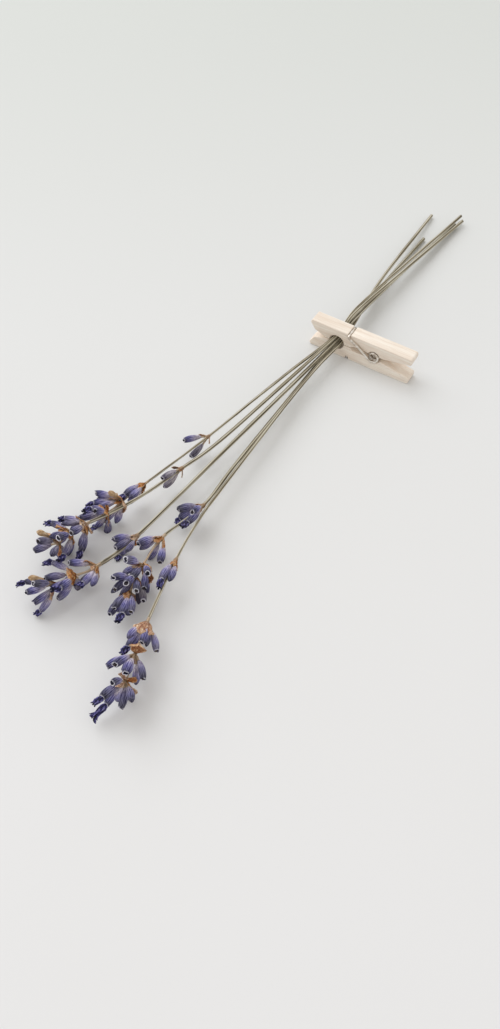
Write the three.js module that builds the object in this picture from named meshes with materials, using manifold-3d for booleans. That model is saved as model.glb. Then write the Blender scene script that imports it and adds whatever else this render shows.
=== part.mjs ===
// Bunch of dried lavender: five flower stalks held in the jaw of a small wooden spring clothespin.
// Millimetres. The origin is the middle of the clothespin's underside, on the surface the bunch lies on.
// +X runs along the clothespin towards its handles, +Y along the stalks towards their cut ends, +Z is up.

import * as THREE from 'three';
import { mergeVertices } from 'three/addons/utils/BufferGeometryUtils.js';
import Module from 'manifold-3d';

const wasm = await Module();
wasm.setup();

// Clearance between pieces that rest on each other, and the length of edge that is closed up after a cut
const GAP = 0.3;
const SHORT_EDGE = 0.15;

// The clothespin
const PIN_LENGTH = 35;
const PIN_WIDTH = 4.7;
const PIN_HEIGHT = 10.1;
const MIDDLE = PIN_HEIGHT / 2;
const LEG_FACE = MIDDLE - GAP / 2;
const NOTCH_X = -8.3;
const NOTCH_RADIUS = 2.6;
const GROOVE_X = -4.2;
const GROOVE_WIDTH = 1.15;
const GROOVE_DEPTH = 1.15;
const COIL_X = 4.9;
const SEAT_RADIUS = 2.2;
const RELIEF_HEIGHT = 4.1;
const FULCRUM_X = -3.4;
const JAW_FLAT_X = -12.1;
const JAW_TIP_HEIGHT = 3.4;
const HANDLE_ROOT_HEIGHT = 4.3;
const HANDLE_TIP_HEIGHT = 2.4;
const HANDLE_ROUND = 0.8;

// The spring
const WIRE_RADIUS = 0.38;
const COIL_RADIUS = 1.5;
const COIL_TURNS = 5;
const ARM_Y = PIN_WIDTH / 2 + WIRE_RADIUS + 0.22;
const ARM_HEIGHT = WIRE_RADIUS + 0.07;
const SPRING_STEPS = 96;

// The stalks
const STALK_SIDES = 6;
const STALK_STEP = 9;
const COLLAR_RADIUS = 1.25;
const COLLAR_LENGTH = 1.5;
const SPIKE_STUB = 1.6;

// A calyx is a swollen tube on a thin stalk of its own, its pedicel. A form lists the share of the calyx's length
// and the radius there.
const PEDICEL_LENGTH = 2;
const PEDICEL_RADIUS = 0.27;
const PEDICEL_ROOT = 0.15;
const CALYX_LENGTH = 5;
const LENGTH_SPREAD = 0.5;
const CALYX_SIDES = 5;
const CALYX_FORM = [[0, 0.34], [0.22, 0.9], [0.6, 1.14], [1, 0.88]];
const BUD_FORM = [[0, 0.34], [0.42, 0.98], [0.93, 0.42]];
const MOUTH_RADIUS = 0.56;
const MOUTH_LIP = 0.05;
const MOUTH_DEPTH = 1.2;
const CALYX_ARCH = 24;
const COROLLA_FORM = [[0.4, 0.85], [0.88, 0.75]];
const COROLLA_LENGTHS = { c: 2.3, l: 4.2 };

// A bract is a papery leaf at the foot of a whorl. It leans a few degrees further out than the calyx it lies over,
// or has a lean of its own where it lies alone.
const BRACT_LENGTH = 3.8;
const BRACT_WIDTH = 3.6;
const BRACT_THICKNESS = 0.62;
const BRACT_CUP = 0.5;
const BRACT_ROOT = 0.3;
const BRACT_FOOT = 0.22;
const BRACT_SWELL = [0.12, 0.94];
const BRACT_OVER = 17;
const BRACT_ALONE = 48;
const BRACT_NEAR = 60;
const SPIKE_BRACT_SIZE = 1;
const LOW_BRACT_SIZE = 0.72;

// Each stalk's route runs from its cut end to its tip. A whorl sits at one of the route's points, counted from 0.
// calyces: degrees round the stalk from straight up, towards -X, then degrees of lean away from the stalk
// bract: where the first of a whorl's two bracts stands, and thrown is its lean where it is thrown back
// forms: o is open, b a closed bud, c and l have a short or a long withered corolla in the mouth
const STALKS = [
  {
    route: [[-1.7, 83.9, 2.4], [-7, 42, 4.3], [-9.9, 14, 5.8], [-9.75, 0, 5.6], [-14.1, -22.4, 6],
      [-17.65, -40.1, 6], [-21, -57.4, 6], [-26.5, -80.7, 6], [-28.2, -88.8, 6], [-29.4, -94, 6],
      [-30.6, -97.2, 6]],
    butt: 0.5, neck: 0.36,
    low: { at: 6, bract: 100, calyces: [[90, 34], [-174, 18]], forms: 'oo' },
    spike: [
      { at: 7, bract: -10, calyces: [[20, 8], [-46, 16], [180, 22]], forms: 'cbo' },
      { at: 8, bract: 20, calyces: [[9, 65], [65, 56], [82, 38], [76, 22], [81, 50], [165, 34], [-171, 52]],
        forms: 'bocooob' },
      { at: 9, bract: -10, calyces: [[-13, 58], [-1, 55], [82, 25], [114, 38], [160, 65], [-172, 74]],
        forms: 'occoco' },
    ],
  },
  {
    route: [[-0.4, 82.6, 1.5], [-5.55, 42, 4.2], [-8.5, 12, 7], [-8.85, 0, 6.6], [-12.3, -24, 6.2],
      [-17, -57.1, 6.5], [-20.7, -71.4, 6.5], [-24, -84, 7], [-27.6, -93.8, 7.5], [-31.2, -100.5, 7.5],
      [-32.8, -104.8, 7.3], [-33.6, -108.8, 7], [-33.4, -111.5, 6.5]],
    butt: 0.58, neck: 0.46,
    low: { at: 6, bract: 90, calyces: [[-9, 16], [180, 22]], forms: 'oo' },
    spike: [
      { at: 9, bract: -60, calyces: [[105, 58], [20, 30], [-38, 48], [-110, 52], [140, 58], [-162, 58]],
        forms: 'cbocbo' },
      { at: 10, bract: 10, calyces: [[103, 78], [-1, 38], [-83, 42], [-25, 56], [145, 62], [-176, 64]],
        forms: 'cbcooo' },
      { at: 11, bract: 50, calyces: [[11, 58], [109, 46], [-38, 50], [36, 74], [169, 82]], forms: 'oobbc' },
    ],
  },
  {
    route: [[-2.1, 80, 0.8], [-6.2, 42, 2.8], [-8.2, 10, 5.5], [-8.45, 0, 5.1], [-11, -26, 5.2],
      [-14.6, -60.7, 5.5], [-18.4, -95.7, 5.5], [-21.4, -108.7, 6], [-24.4, -113.6, 5.8], [-27.5, -118.2, 5.4],
      [-29.6, -121, 5]],
    butt: 0.62, neck: 0.53,
    low: { at: 6, bract: 0, calyces: [[37, 32], [24, 14], [-45, 32], [159, 46]], forms: 'oobc' },
    spike: [
      { at: 7, bract: -100, calyces: [[62, 40], [-70, 50], [-57, 34], [176, 30]], forms: 'obcb' },
      { at: 8, bract: -30, calyces: [[88, 56], [38, 18], [-44, 53], [-63, 84], [-125, 30], [-64, 10], [150, 62]],
        forms: 'cocboob' },
      { at: 9, bract: 60, calyces: [[-13, 56], [30, 40], [66, 26], [-19, 24], [-88, 24], [-130, 40]],
        forms: 'obcooc' },
    ],
  },
  {
    route: [[-8.5, 66.4, 0.8], [-9.5, 30, 1.8], [-8.6, 0, 3.5], [-9.3, -16, 3.8], [-9.35, -36, 4.4],
      [-9.1, -62, 5.4], [-8.9, -78.2, 5.5], [-12.4, -92.3, 5.5], [-11.5, -102.2, 5.8], [-10.9, -106, 5.7],
      [-9.8, -109.9, 5.4], [-9, -112.8, 5]],
    butt: 0.55, neck: 0.45,
    low: { at: 6, bract: 90, calyces: [[82, 38], [116, 34], [-16, 40], [124, 30], [-40, 8]], forms: 'obocc' },
    spike: [
      { at: 7, bract: 70, calyces: [[50, 26], [115, 26], [170, 48], [-93, 36]], forms: 'oboo' },
      { at: 8, bract: 60, calyces: [[22, 64], [-42, 60], [33, 32], [-75, 34], [-10, 30], [150, 60], [-150, 54]],
        forms: 'ooboobo' },
      { at: 9, bract: -70, forms: 'ooooboob',
        calyces: [[35, 58], [-1, 50], [-37, 44], [45, 34], [106, 42], [114, 12], [-82, 40], [-102, 28]] },
      { at: 10, bract: 20, calyces: [[32, 26], [-19, 22], [-53, 30], [96, 22], [151, 54], [180, 56]],
        forms: 'ocoobo' },
    ],
  },
  {
    route: [[-11.8, 80.6, 0.9], [-10.4, 36, 3.6], [-8.1, 12, 4], [-7.15, 0, 4.55], [-8.3, -15, 4.75],
      [-8.4, -38, 5.3], [-7.6, -71.5, 5.7], [-7, -82.5, 6.2], [-4.7, -96.9, 7], [-0.3, -115.3, 7.5],
      [2.1, -123.5, 7.2], [4, -130, 6.2], [4.2, -133.5, 5.6]],
    butt: 0.55, neck: 0.38,
    low: { at: 8, bract: 70, calyces: [[32, 10], [-52, 12]], forms: 'cb' },
    spike: [
      { at: 9, bract: 0, calyces: [[-101, 38], [125, 24], [-65, 22], [35, 28], [156, 58], [-33, 24]],
        forms: 'ocbboo' },
      { at: 10, bract: -25, thrown: 110, calyces: [[92, 50], [-8, 35], [-73, 38], [28, 46], [-153, 32], [155, 66]],
        forms: 'oooobo' },
      { at: 11, bract: 40, calyces: [[42, 36], [6, 72], [122, 26], [-48, 22], [-49, 52], [165, 60], [-176, 64]],
        forms: 'colobob' },
    ],
  },
];

// The colours of the pieces
const WOOD = { color: 0xe6d3bd, roughness: 0.75, metalness: 0 };
const STEEL = { color: 0xa8a6a2, roughness: 0.35, metalness: 1 };
const STALK = { color: 0x8f8462, roughness: 0.85, metalness: 0 };
const FLOWER = { color: 0x565078, roughness: 0.9, metalness: 0 };

const radians = (degrees) => degrees * Math.PI / 180;

// A seeded draw between -1 and 1
function draw(seed) {
  const value = Math.sin(seed * 12.9898) * 43758.5453;
  return 2 * (value - Math.floor(value)) - 1;
}

// A closed geometry as a solid, with its faces turned outwards
function solidOf(geometry) {
  const bare = geometry.clone();
  bare.deleteAttribute('normal');
  bare.deleteAttribute('uv');
  const merged = mergeVertices(bare, 1e-4);
  const positions = merged.attributes.position.array;
  const triangles = [];
  let volume = 0;
  for (let i = 0; i < merged.index.count; i += 3) {
    const corner = [0, 1, 2].map((k) => merged.index.getX(i + k));
    if (new Set(corner).size < 3) continue;
    triangles.push(...corner);
    const [a, b, c] = corner.map((k) => new THREE.Vector3().fromArray(positions, 3 * k));
    volume += a.dot(b.cross(c));
  }
  if (volume < 0) triangles.reverse();
  return new wasm.Manifold(new wasm.Mesh({
    numProp: 3, vertProperties: new Float32Array(positions), triVerts: new Uint32Array(triangles),
  }));
}

const joined = (solids) => solids.reduce((sum, solid) => sum.add(solid));

// The largest body of a solid, without the scraps that a cut leaves and with its shortest edges closed up
function mainBody(solid) {
  const bodies = solid.simplify(SHORT_EDGE).decompose();
  return bodies.reduce((best, body) => (body.volume() > best.volume() ? body : best));
}

function named(name, solid, finish) {
  const { vertProperties, triVerts } = solid.getMesh();
  const geometry = new THREE.BufferGeometry();
  geometry.setAttribute('position', new THREE.BufferAttribute(new Float32Array(vertProperties), 3));
  geometry.setIndex(new THREE.BufferAttribute(new Uint32Array(triVerts), 1));
  geometry.computeVertexNormals();
  const mesh = new THREE.Mesh(geometry, new THREE.MeshStandardMaterial(finish));
  mesh.name = name;
  return mesh;
}

// Moves every vertex of a geometry to where place puts it
function bent(geometry, place) {
  const positions = geometry.attributes.position;
  const point = new THREE.Vector3();
  for (let i = 0; i < positions.count; i += 1) {
    point.fromBufferAttribute(positions, i);
    positions.setXYZ(i, ...place(point).toArray());
  }
  return geometry;
}

// Points of an arc in the clothespin's side view
function arc(x, z, radius, from, to, steps) {
  return Array.from({ length: steps + 1 }, (_, i) => {
    const angle = radians(from + (to - from) * i / steps);
    return [x + radius * Math.cos(angle), z + radius * Math.sin(angle)];
  });
}

// A leg of the clothespin from its side: flat outside with a groove for the wire, and inside it the jaw,
// the notch for the stalks, the fulcrum, the seat of the coil and the tapered handle
function legOutline() {
  const end = PIN_LENGTH / 2;
  const notch = Math.acos((MIDDLE - LEG_FACE) / NOTCH_RADIUS) * 180 / Math.PI;
  return [
    [-end, 0],
    [GROOVE_X - GROOVE_WIDTH / 2, 0],
    [GROOVE_X - GROOVE_WIDTH / 2, GROOVE_DEPTH],
    [GROOVE_X + GROOVE_WIDTH / 2, GROOVE_DEPTH],
    [GROOVE_X + GROOVE_WIDTH / 2, 0],
    ...arc(end - HANDLE_ROUND, HANDLE_ROUND, HANDLE_ROUND, -90, 0, 3),
    ...arc(end - HANDLE_ROUND, HANDLE_TIP_HEIGHT - HANDLE_ROUND, HANDLE_ROUND, 10, 80, 2),
    [COIL_X + SEAT_RADIUS + 0.5, HANDLE_ROOT_HEIGHT],
    ...arc(COIL_X, MIDDLE, SEAT_RADIUS, -22, -158, 8),
    [COIL_X - SEAT_RADIUS - 0.8, RELIEF_HEIGHT],
    [FULCRUM_X + 1.1, RELIEF_HEIGHT],
    [FULCRUM_X, LEG_FACE],
    ...arc(NOTCH_X, MIDDLE, NOTCH_RADIUS, notch - 90, -notch - 90, 10),
    [JAW_FLAT_X, LEG_FACE],
    [-end + 1.2, JAW_TIP_HEIGHT],
    ...arc(-end + 0.3, 0.9, 0.7, 130, 200, 2),
  ];
}

function leg(name, upper) {
  const outline = legOutline().map(([x, z]) => new THREE.Vector2(x, upper ? PIN_HEIGHT - z : z));
  const geometry = new THREE.ExtrudeGeometry(new THREE.Shape(outline), { depth: PIN_WIDTH, bevelEnabled: false });
  geometry.rotateX(Math.PI / 2).translate(0, PIN_WIDTH / 2, 0);
  return named(name, solidOf(geometry), WOOD);
}

// One wire: across the upper leg in its groove, down the near side to the coil, round it, and the same
// again, turned over, on the far side
function springRoute() {
  const top = PIN_HEIGHT - ARM_HEIGHT;
  const reach = Math.hypot(COIL_X - GROOVE_X, top - MIDDLE);
  const slope = Math.atan2(top - MIDDLE, GROOVE_X - COIL_X);
  const start = slope + Math.acos(COIL_RADIUS / reach);
  const sweep = 2 * Math.PI * (COIL_TURNS + 1) - 2 * start;
  const steps = COIL_TURNS * 12;
  const coil = Array.from({ length: steps + 1 }, (_, i) => {
    const angle = start + sweep * i / steps;
    const y = ARM_Y * (2 * i / steps - 1);
    return [COIL_X + COIL_RADIUS * Math.cos(angle), y, MIDDLE + COIL_RADIUS * Math.sin(angle)];
  });
  const arm = [
    [GROOVE_X, PIN_WIDTH / 2 - 0.3, top], [GROOVE_X, 0, top], [GROOVE_X, -PIN_WIDTH / 2 + 0.2, top],
    [GROOVE_X + 0.1, -ARM_Y + 0.25, top - 0.08], [GROOVE_X + 0.55, -ARM_Y, top - 0.5],
    [0, -ARM_Y, top - (top - coil[0][2]) * 0.47],
  ];
  const farArm = arm.map(([x, y, z]) => [x, -y, PIN_HEIGHT - z]).reverse();
  return [...arm, ...coil, ...farArm];
}

function spring() {
  const section = new THREE.Shape(arc(0, 0, WIRE_RADIUS, 0, 300, 5).map(([x, y]) => new THREE.Vector2(x, y)));
  const path = new THREE.CatmullRomCurve3(springRoute().map((p) => new THREE.Vector3(...p)));
  const geometry = new THREE.ExtrudeGeometry(section, { steps: SPRING_STEPS, extrudePath: path });
  return named('pin_spring', solidOf(geometry), STEEL);
}

// The stalk's direction at a place on its route, with the directions straight up and sideways from it
function stalkFrame(route, at) {
  const share = THREE.MathUtils.clamp(at / (route.points.length - 1), 0, 1);
  const along = route.getTangent(share);
  const up = new THREE.Vector3(0, 0, 1).addScaledVector(along, -along.z).normalize();
  const side = new THREE.Vector3().crossVectors(along, up);
  return { centre: route.getPoint(share), along, up, side };
}

// A stretch of a stalk, between two places on its route
function stem(route, from, to, radiusAt, extra = 0) {
  const length = stalkFrame(route, from).centre.distanceTo(stalkFrame(route, to).centre);
  const steps = Math.max(2, Math.round(length / STALK_STEP));
  const geometry = new THREE.CylinderGeometry(1, 1, 1, STALK_SIDES, steps);
  return solidOf(bent(geometry, (p) => {
    const at = from + (to - from) * (p.y + 0.5);
    const { centre, up, side } = stalkFrame(route, at);
    const radius = radiusAt(at) + extra;
    return centre.addScaledVector(up, p.x * radius).addScaledVector(side, p.z * radius);
  }));
}

// A calyx along +Y from its root, with its mouth open, closed to a bud, or filled by the withered corolla.
// The larger one that cuts the neighbours reaches past its rim too, and has no mouth.
function calyxGeometry(form, length, extra) {
  const profile = (form === 'b' ? BUD_FORM : CALYX_FORM)
    .map(([share, radius]) => new THREE.Vector2(radius + extra, length - (1 - share) * CALYX_LENGTH));
  profile.unshift(new THREE.Vector2(0, -extra), new THREE.Vector2(PEDICEL_RADIUS + extra, -extra));
  if (extra > 0) {
    profile.push(new THREE.Vector2(profile.at(-1).x, length + extra));
  } else if (form !== 'b') {
    profile.push(new THREE.Vector2(MOUTH_RADIUS, length - MOUTH_LIP));
  }
  if (form in COROLLA_LENGTHS) {
    const reach = COROLLA_LENGTHS[form];
    profile.push(...COROLLA_FORM.map(([share, radius]) => new THREE.Vector2(radius + extra, length + share * reach)),
      new THREE.Vector2(0, length + reach + extra));
  } else {
    profile.push(new THREE.Vector2(0, form === 'b' || extra > 0 ? length + extra : length - MOUTH_DEPTH));
  }
  return new THREE.LatheGeometry(profile, CALYX_SIDES);
}

// A calyx on its stalk: it leaves with more lean than it ends with, along an arc
function calyx(frame, form, turn, lean, length, extra) {
  const out = frame.up.clone().multiplyScalar(Math.cos(turn)).addScaledVector(frame.side, Math.sin(turn));
  const across = new THREE.Vector3().crossVectors(frame.along, out);
  const first = lean + radians(CALYX_ARCH) / 2;
  const curl = radians(CALYX_ARCH) / length;
  return solidOf(bent(calyxGeometry(form, length, extra), (p) => {
    const angle = first - curl * p.y;
    const forward = (Math.sin(first) - Math.sin(angle)) / curl;
    const outward = PEDICEL_ROOT + (Math.cos(angle) - Math.cos(first)) / curl;
    return frame.centre.clone()
      .addScaledVector(frame.along, forward - p.z * Math.sin(angle))
      .addScaledVector(out, outward + p.z * Math.cos(angle))
      .addScaledVector(across, p.x);
  }));
}

// A bract: a thin pointed leaf, cupped round the whorl
function bract(frame, turn, size, lean, extra) {
  const out = frame.up.clone().multiplyScalar(Math.cos(turn)).addScaledVector(frame.side, Math.sin(turn));
  const across = new THREE.Vector3().crossVectors(frame.along, out);
  const geometry = new THREE.BoxGeometry(1, BRACT_THICKNESS + 2 * extra, 1, 2, 1, 2);
  return solidOf(bent(geometry, (p) => {
    const share = p.z + 0.5;
    const swell = Math.sin(Math.PI * THREE.MathUtils.lerp(...BRACT_SWELL, share));
    const width = BRACT_WIDTH * size * (BRACT_FOOT + (1 - BRACT_FOOT) * swell);
    const cup = BRACT_CUP * size * (2 * p.x) ** 2;
    const reach = share * (BRACT_LENGTH * size + extra);
    const raised = p.y - cup;
    return frame.centre.clone()
      .addScaledVector(frame.along, reach * Math.cos(lean) - BRACT_ROOT - raised * Math.sin(lean))
      .addScaledVector(out, reach * Math.sin(lean) + raised * Math.cos(lean))
      .addScaledVector(across, p.x * (width + 2 * extra));
  }));
}

// Degrees brought to between -180 and 180
const wrapped = (degrees) => THREE.MathUtils.euclideanModulo(degrees + 180, 360) - 180;

// A whorl: its calyces and its pair of bracts, each over the calyx nearest to it
function whorl(route, row, seed, extra, size) {
  const frame = stalkFrame(route, row.at);
  const calyces = row.calyces.map(([turn, lean], i) => {
    const length = PEDICEL_LENGTH + CALYX_LENGTH + LENGTH_SPREAD * draw(seed + i);
    return calyx(frame, row.forms[i], radians(turn), radians(lean), length, extra);
  });
  const bracts = [0, 180].map((half) => {
    const side = row.bract + half;
    const [gap, below] = row.calyces.map(([turn, lean]) => [wrapped(turn - side), lean])
      .reduce((nearest, one) => (Math.abs(one[0]) < Math.abs(nearest[0]) ? one : nearest));
    const covers = Math.abs(gap) < BRACT_NEAR;
    const turn = covers ? side + gap / 2 : side;
    const lean = half === 0 && row.thrown ? row.thrown : covers ? below + BRACT_OVER : BRACT_ALONE;
    return bract(frame, radians(turn), size * (1 + 0.15 * draw(seed + half)), radians(lean), extra);
  });
  return joined([...calyces, ...bracts]);
}

// What lies above the surface that the bunch rests on: low calyces are pressed flat there
const below = solidOf(new THREE.BoxGeometry(200, 400, 20).translate(0, 0, -10));

// A whorl's collar, a short ring that holds its calyces together round the stalk
function collar(route, at, extra) {
  const frame = stalkFrame(route, at);
  const radius = COLLAR_RADIUS + extra;
  const geometry = new THREE.CylinderGeometry(radius, radius, COLLAR_LENGTH + 2 * extra, 10);
  return solidOf(bent(geometry, (p) => frame.centre.clone().addScaledVector(frame.along, p.y)
    .addScaledVector(frame.up, p.x).addScaledVector(frame.side, p.z)));
}

// One stalk: the bare stem up to its spike, the low whorl round it, and the spike with its own core, which starts
// a little before its first whorl. perPoint is the length of one step along the route there.
// wide is the same again, larger by the clearance, to cut the neighbours with.
function stalkPieces(row, number) {
  const route = new THREE.CatmullRomCurve3(row.route.map((p) => new THREE.Vector3(...p)), false, 'catmullrom');
  const last = row.route.length - 1;
  const radiusAt = (at) => row.butt + (row.neck - row.butt) * Math.min(1, at / row.low.at);
  const foot = row.spike[0].at;
  const perPoint = route.points[foot + 1].distanceTo(route.points[foot - 1]) / 2;
  const seed = 100 * number;
  const build = (extra) => ({
    stem: stem(route, 0, foot - SPIKE_STUB / perPoint, radiusAt, extra),
    low: whorl(route, row.low, seed, extra, LOW_BRACT_SIZE).add(collar(route, row.low.at, extra)),
    spike: joined([
      stem(route, foot - (SPIKE_STUB - GAP) / perPoint, last, radiusAt, extra),
      ...row.spike.map((one, i) => whorl(route, one, seed + 10 * (i + 1), extra, SPIKE_BRACT_SIZE)),
    ]),
  });
  return { number, pieces: build(0), wide: build(GAP) };
}

const bunch = new THREE.Group();
bunch.add(leg('pin_lower_leg', false), leg('pin_upper_leg', true), spring());

// Each flower piece is cut clear of the stems, and of the flower pieces made before it
const stalks = STALKS.map((row, i) => stalkPieces(row, i + 1));
const placed = [];
for (const { number, pieces } of stalks) {
  bunch.add(named(`stalk_${number}`, pieces.stem, STALK));
}
for (const { number, pieces, wide } of stalks) {
  for (const part of ['low', 'spike']) {
    let solid = pieces[part].subtract(below);
    for (const other of stalks) solid = solid.subtract(other.wide.stem);
    for (const earlier of placed) solid = solid.subtract(earlier);
    bunch.add(named(part === 'low' ? `low_whorl_${number}` : `spike_${number}`, mainBody(solid), FLOWER));
    placed.push(wide[part]);
  }
}

export default bunch;
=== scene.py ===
# A small bunch of dried lavender, held in a mini wooden clothespin and lying on a pale table.
# Shapes are worked out in millimetres and turned into metres when a piece is made.
from math import acos, atan2, degrees, floor, hypot, pi, radians

import bmesh
import bpy
import numpy as np
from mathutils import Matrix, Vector
from numpy import cos, sin


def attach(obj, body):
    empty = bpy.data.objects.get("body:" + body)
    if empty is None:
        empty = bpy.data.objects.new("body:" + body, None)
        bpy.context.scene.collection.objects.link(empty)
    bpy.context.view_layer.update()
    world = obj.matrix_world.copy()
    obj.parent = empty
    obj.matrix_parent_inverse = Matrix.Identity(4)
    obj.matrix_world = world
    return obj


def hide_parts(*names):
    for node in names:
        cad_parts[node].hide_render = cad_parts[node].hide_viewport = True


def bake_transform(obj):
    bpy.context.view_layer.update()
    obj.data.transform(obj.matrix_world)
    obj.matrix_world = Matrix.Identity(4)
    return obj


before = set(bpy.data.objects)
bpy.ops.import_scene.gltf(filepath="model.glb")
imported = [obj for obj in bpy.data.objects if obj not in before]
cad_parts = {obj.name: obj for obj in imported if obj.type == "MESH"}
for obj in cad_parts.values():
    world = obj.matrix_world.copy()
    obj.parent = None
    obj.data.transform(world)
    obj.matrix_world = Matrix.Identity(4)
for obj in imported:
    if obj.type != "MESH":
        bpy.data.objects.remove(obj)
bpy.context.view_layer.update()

mm = 0.001

camera = {
    "place": (65.48, -173.44, 178.81),  # mm from the middle of the clothespin's underside
    "tilt": 34.112,  # degrees up from looking straight down
    "swing": 31.85,  # degrees round from looking along +Y
    "lens": 27.04,
    "film": 36,  # the long side of the picture
    "nearest": 10,  # mm in front of it where things start to show
}

daylight = {
    "from": (-1.35, 0.36, 1.42),  # where the window is, seen from the bunch
    "distance": 3.2, "size": 2.9, "power": 63,
    "colour": (0.935, 0.96, 1.0),
    "room": (0.98, 0.955, 0.915), "roomStrength": 0.785,
}


def placed(name, data):
    thing = bpy.data.objects.new(name, data)
    bpy.context.scene.collection.objects.link(thing)
    return thing


def setCamera():
    lens = bpy.data.cameras.new("camera")
    lens.lens = camera["lens"]
    lens.sensor_width = camera["film"]
    lens.clip_start = camera["nearest"] * mm
    holder = placed("camera", lens)
    holder.location = Vector(camera["place"]) * mm
    holder.rotation_euler = (radians(camera["tilt"]), 0, radians(camera["swing"]))
    bpy.context.scene.camera = holder


def setLight():
    window = bpy.data.lights.new("window", "AREA")
    window.shape = "SQUARE"
    window.size = daylight["size"]
    window.energy = daylight["power"]
    window.color = daylight["colour"]
    holder = placed("window", window)
    away = Vector(daylight["from"]).normalized()
    holder.location = away * daylight["distance"]
    holder.rotation_euler = away.to_track_quat("Z", "Y").to_euler()
    world = bpy.data.worlds.new("room")
    world.use_nodes = True
    background = world.node_tree.nodes["Background"]
    background.inputs["Color"].default_value = (*daylight["room"], 1)
    background.inputs["Strength"].default_value = daylight["roomStrength"]
    bpy.context.scene.world = world
    bpy.context.scene.view_settings.view_transform = "Standard"


# A socket used in plain arithmetic: each operation puts in the Math node that does it
class Wire:
    def __init__(self, paint, socket):
        self.paint = paint
        self.socket = socket

    def maths(self, operation, first, second=0.0):
        return self.paint.add("ShaderNodeMath", {"operation": operation}, {0: first, 1: second})

    def __add__(self, other):
        return self.maths("ADD", self, other)

    def __radd__(self, other):
        return self.maths("ADD", other, self)

    def __sub__(self, other):
        return self.maths("SUBTRACT", self, other)

    def __rsub__(self, other):
        return self.maths("SUBTRACT", other, self)

    def __mul__(self, other):
        return self.maths("MULTIPLY", self, other)

    def __rmul__(self, other):
        return self.maths("MULTIPLY", other, self)

    # A smooth step from 0 at low to 1 at high
    def rise(self, low, high):
        return self.paint.add("ShaderNodeMapRange", {"interpolation_type": "SMOOTHSTEP"},
                              {"Value": self, "From Min": low, "From Max": high})


def colour(code):
    parts = [int(code[i:i + 2], 16) / 255 for i in (1, 3, 5)]
    return (*[((p + 0.055) / 1.055) ** 2.4 if p > 0.04045 else p / 12.92 for p in parts], 1)


# A material being mixed. add puts in a node: its type, its settings, then what goes into its sockets
class Paint:
    def __init__(self, name):
        self.material = bpy.data.materials.new(name)
        self.material.use_nodes = True
        self.tree = self.material.node_tree
        self.shader = self.tree.nodes["Principled BSDF"]

    def add(self, kind, settings=None, sockets=None, out=0):
        node = self.tree.nodes.new(kind)
        for key, value in (settings or {}).items():
            if key == "stops":
                self.setStops(node.color_ramp, value)
            else:
                setattr(node, key, value)
        self.fill(node, sockets or {})
        return Wire(self, node.outputs[out])

    def fill(self, node, sockets):
        for key, value in sockets.items():
            if isinstance(value, Wire):
                self.tree.links.new(value.socket, node.inputs[key])
            else:
                node.inputs[key].default_value = colour(value) if isinstance(value, str) else value

    def setStops(self, ramp, stops):
        while len(ramp.elements) < len(stops):
            ramp.elements.new(1)
        for element, (place, code) in zip(ramp.elements, stops):
            element.position = place
            element.color = colour(code)

    # Marks of the mesh by name: each is a number, but grain is a place
    def marks(self, *names):
        return [self.add("ShaderNodeAttribute", {"attribute_name": name},
                         out="Vector" if name == "grain" else "Fac") for name in names]

    def ramp(self, value, stops):
        return self.add("ShaderNodeValToRGB", {"stops": stops}, {0: value})

    # In a Mix node 0 is the share, 6 and 7 are the colours, and 2 is the colour that comes out
    def blend(self, share, low, high, way="MIX"):
        return self.add("ShaderNodeMix", {"data_type": "RGBA", "blend_type": way},
                        {0: share, 6: low, 7: high}, 2)

    def stretch(self, vector, by):
        return self.add("ShaderNodeVectorMath", {"operation": "MULTIPLY"}, {0: vector, 1: by})

    def noise(self, vector, scale, detail=2.0, roughness=0.5, twist=0.0):
        return self.add("ShaderNodeTexNoise", sockets={
            "Vector": vector, "Scale": scale, "Detail": detail, "Roughness": roughness,
            "Distortion": twist})

    def bump(self, height, strength, distance):
        return self.add("ShaderNodeBump", sockets={
            "Height": height, "Strength": strength, "Distance": distance * mm})

    def finish(self, body, roughness, others=None):
        self.fill(self.shader, {"Base Color": body, "Roughness": roughness, **(others or {})})
        return self.material


table = {
    "width": 4, "roughness": 0.75,
    "colour": "#e1e1e2",
    "cloud": "#dededd", "cloudSize": 6, "cloudShare": 0.5,
    "far": "#cfd2cf",  # painted shade: the table goes greyer behind the bunch, where the window's light falls off
    "away": (-0.528, 0.849, 0),  # the way back, and the metres between which the painted shade sets in
    "start": -0.16, "end": 0.3,
}


def tableFinish():
    paint = Paint("table_paint")
    where = paint.add("ShaderNodeTexCoord", out="Object")
    cloud = paint.noise(where, table["cloudSize"], 4).rise(0.3, 0.8) * table["cloudShare"]
    shade = paint.blend(cloud, table["colour"], table["cloud"])
    away = paint.add("ShaderNodeVectorMath", {"operation": "DOT_PRODUCT"},
                     {0: where, 1: table["away"]}, 1)
    # Painted shade: the table darkens towards the back, standing in for the light falling off there
    shade = paint.blend(away.rise(table["start"], table["end"]), shade, table["far"])
    return paint.finish(shade, table["roughness"])


calyxLook = {
    # Colours from the base to the mouth; a withered one's follow its streaks
    "fresh": [(0.08, "#f0e6db"), (0.29, "#cfc4cd"), (0.49, "#9089be"), (0.68, "#464398"), (0.92, "#17164c")],
    "faded": [(0.0, "#c9beac"), (0.4, "#a59d96"), (0.72, "#736b74"), (0.95, "#433755")],
    "withered": [(0.36, "#85674a"), (0.5, "#b59673"), (0.62, "#d5bf9f")],
    # furrowShadeAndStreak and crest are painted shade and painted highlight on the ribs, mixed with the
    # calyx's own streaks
    "bloom": "#d3ccdf", "dusk": "#8f8aa8", "furrowShadeAndStreak": "#8c89aa", "crest": "#e6e2f6",
    # throat is painted shade inside the mouth
    "dark": "#2c2436", "rim": "#e4e2ec", "throat": "#2e283b",
    "roughness": 0.85, "sheen": 0.12, "sheenTint": "#cfcbe6",
}


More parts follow.
